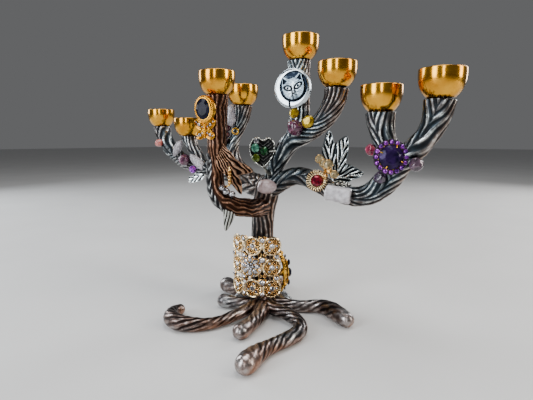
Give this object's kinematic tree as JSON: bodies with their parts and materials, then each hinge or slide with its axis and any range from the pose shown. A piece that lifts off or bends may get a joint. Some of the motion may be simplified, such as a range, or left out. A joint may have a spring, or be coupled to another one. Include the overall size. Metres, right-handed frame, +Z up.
{
  "type": "tree candelabrum",
  "caption": "Tree-shaped metal candelabrum: spreading roots, forked bark branches with round candle cups, dressed with glued brooches, stones and leaves.",
  "frame": {"origin": "middle of the footprint's bounding box, on the surface it stands on", "axes": "+X along the row of cups from the outermost left cup to the outermost right cup, -Y towards the front arm, +Z up"},
  "size_m": [0.2834, 0.1282, 0.1985],
  "materials": {
    "gold_cup": "polished gold tone",
    "antique_silver": "antique silver with blackened grooves and copper patina",
    "copper_patina": "antique silver with a heavy copper patina",
    "screw_steel": "plain",
    "bright_silver": "bright silver with blackened veins",
    "gold_trim": "gold tone",
    "dark_metal": "blackened",
    "yellow_crystal": "faceted",
    "green_crystal": "faceted",
    "ruby": "faceted",
    "rose_stone": "polished",
    "violet_crystal": "faceted",
    "mauve_stone": "polished",
    "rose_quartz": "cloudy",
    "white_quartz": "cloudy, rough",
    "clear_crystal": "faceted",
    "onyx": "black, faceted"
  },
  "bodies": {
    "root": {"arm_leaf": "copper_patina", "base_screw": "screw_steel", "branch_left_lower": "antique_silver", "branch_left_upper": "antique_silver", "branch_right_lower": "antique_silver", "branch_right_upper": "antique_silver", "butterfly": "gold_trim", "butterfly_stones": "clear_crystal", "cat_medallion": "bright_silver", "champagne_crystals": "clear_crystal", "clear_crystals": "clear_crystal", "coral_bead": "rose_stone", "cup_1": "gold_cup", "cup_2": "gold_cup", "cup_3": "gold_cup", "cup_4": "gold_cup", "cup_5": "gold_cup", "cup_6": "gold_cup", "cup_7": "gold_cup", "cup_8": "gold_cup", "cup_9": "gold_cup", "cup_screws": "screw_steel", "dark_leaf": "bright_silver", "drop_leaf": "bright_silver", "drusy_chip": "white_quartz", "filigree_brooch": "gold_trim", "filigree_stones": "clear_crystal", "front_arm": "copper_patina", "garnet_cluster": "ruby", "gold_bead_stack": "gold_trim", "gold_sprigs": "gold_trim", "green_stones": "green_crystal", "heart_leaf": "bright_silver", "leaf_spray": "bright_silver", "mauve_bead_left": "mauve_stone", "mauve_bead_right": "mauve_stone", "onyx_bezel": "gold_trim", "onyx_stone": "onyx", "pink_quartz": "rose_quartz", "plum_bead": "mauve_stone", "quartz_chip": "white_quartz", "quartz_cylinder": "rose_quartz", "quartz_nugget": "white_quartz", "ring_finding": "gold_trim", "root_base": "antique_silver", "rose_bead": "rose_stone", "ruby_flower": "gold_trim", "ruby_stone": "ruby", "side_brooch": "gold_trim", "side_brooch_stones": "onyx", "small_leaf": "bright_silver", "smoky_bead": "mauve_stone", "trunk": "antique_silver", "violet_brooch": "dark_metal", "violet_center_stone": "violet_crystal", "violet_ring_stones": "violet_crystal", "violet_stone_left": "violet_crystal", "yellow_crystals": "yellow_crystal"}
  },
  "joints": []
}
